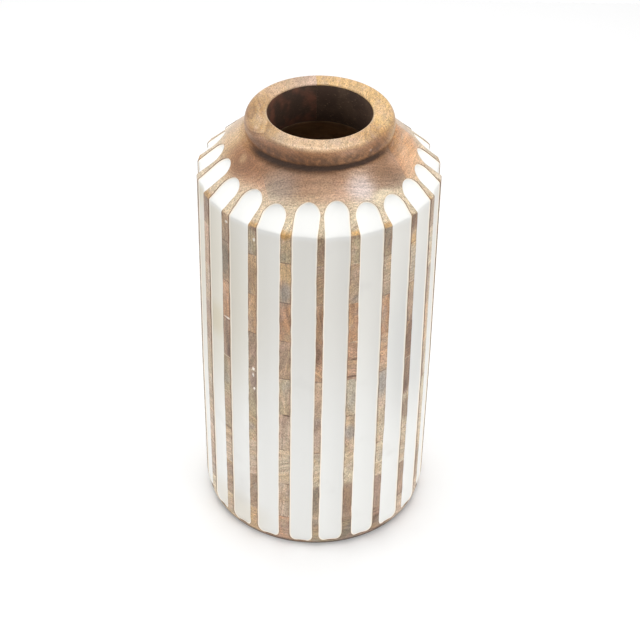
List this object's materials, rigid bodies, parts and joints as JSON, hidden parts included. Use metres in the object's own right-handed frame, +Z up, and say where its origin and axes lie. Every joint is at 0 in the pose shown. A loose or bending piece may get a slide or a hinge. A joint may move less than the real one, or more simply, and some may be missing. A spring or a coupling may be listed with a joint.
{
  "type": "wooden vase",
  "caption": "Tall turned wooden vase with a rolled rim, a sloping shoulder and carved vertical flutes filled with white enamel.",
  "frame": {"origin": "centre of the foot, on the surface that the vase stands on", "axes": "+Z up along the turning axis, -Y towards the side shown in the picture"},
  "size_m": [0.1542, 0.155, 0.3],
  "materials": {
    "mango_wood": "turned and waxed mango wood in glued blocks, tan to grey-brown",
    "rim_wood": "turned and waxed mango wood, golden tan",
    "white_enamel": "brushed-in white enamel, satin, slightly uneven"
  },
  "bodies": {
    "root": {"base_plank_left": "mango_wood", "base_plank_right": "mango_wood", "course_1_block_1": "mango_wood", "course_1_block_2": "mango_wood", "course_1_block_3": "mango_wood", "course_1_block_4": "mango_wood", "course_2_block_1": "mango_wood", "course_2_block_2": "mango_wood", "course_2_block_3": "mango_wood", "course_2_block_4": "mango_wood", "course_3_block_1": "mango_wood", "course_3_block_2": "mango_wood", "course_3_block_3": "mango_wood", "course_3_block_4": "mango_wood", "course_4_block_1": "mango_wood", "course_4_block_2": "mango_wood", "course_4_block_3": "mango_wood", "course_4_block_4": "mango_wood", "course_5_block_1": "mango_wood", "course_5_block_2": "mango_wood", "course_5_block_3": "mango_wood", "course_5_block_4": "mango_wood", "course_6_block_1": "mango_wood", "course_6_block_2": "mango_wood", "course_6_block_3": "mango_wood", "course_6_block_4": "mango_wood", "course_7_block_1": "mango_wood", "course_7_block_2": "mango_wood", "course_7_block_3": "mango_wood", "course_7_block_4": "mango_wood", "course_8_block_1": "mango_wood", "course_8_block_2": "mango_wood", "course_8_block_3": "mango_wood", "course_8_block_4": "mango_wood", "rim_block_1": "rim_wood", "rim_block_2": "rim_wood", "rim_block_3": "rim_wood", "rim_block_4": "rim_wood", "enamel_flute_01": "white_enamel", "enamel_flute_02": "white_enamel", "enamel_flute_03": "white_enamel", "enamel_flute_04": "white_enamel", "enamel_flute_05": "white_enamel", "enamel_flute_06": "white_enamel", "enamel_flute_07": "white_enamel", "enamel_flute_08": "white_enamel", "enamel_flute_09": "white_enamel", "enamel_flute_10": "white_enamel", "enamel_flute_11": "white_enamel", "enamel_flute_12": "white_enamel", "enamel_flute_13": "white_enamel", "enamel_flute_14": "white_enamel", "enamel_flute_15": "white_enamel", "enamel_flute_16": "white_enamel", "enamel_flute_17": "white_enamel", "enamel_flute_18": "white_enamel", "enamel_flute_19": "white_enamel", "enamel_flute_20": "white_enamel", "enamel_flute_21": "white_enamel", "enamel_flute_22": "white_enamel"}
  },
  "joints": []
}
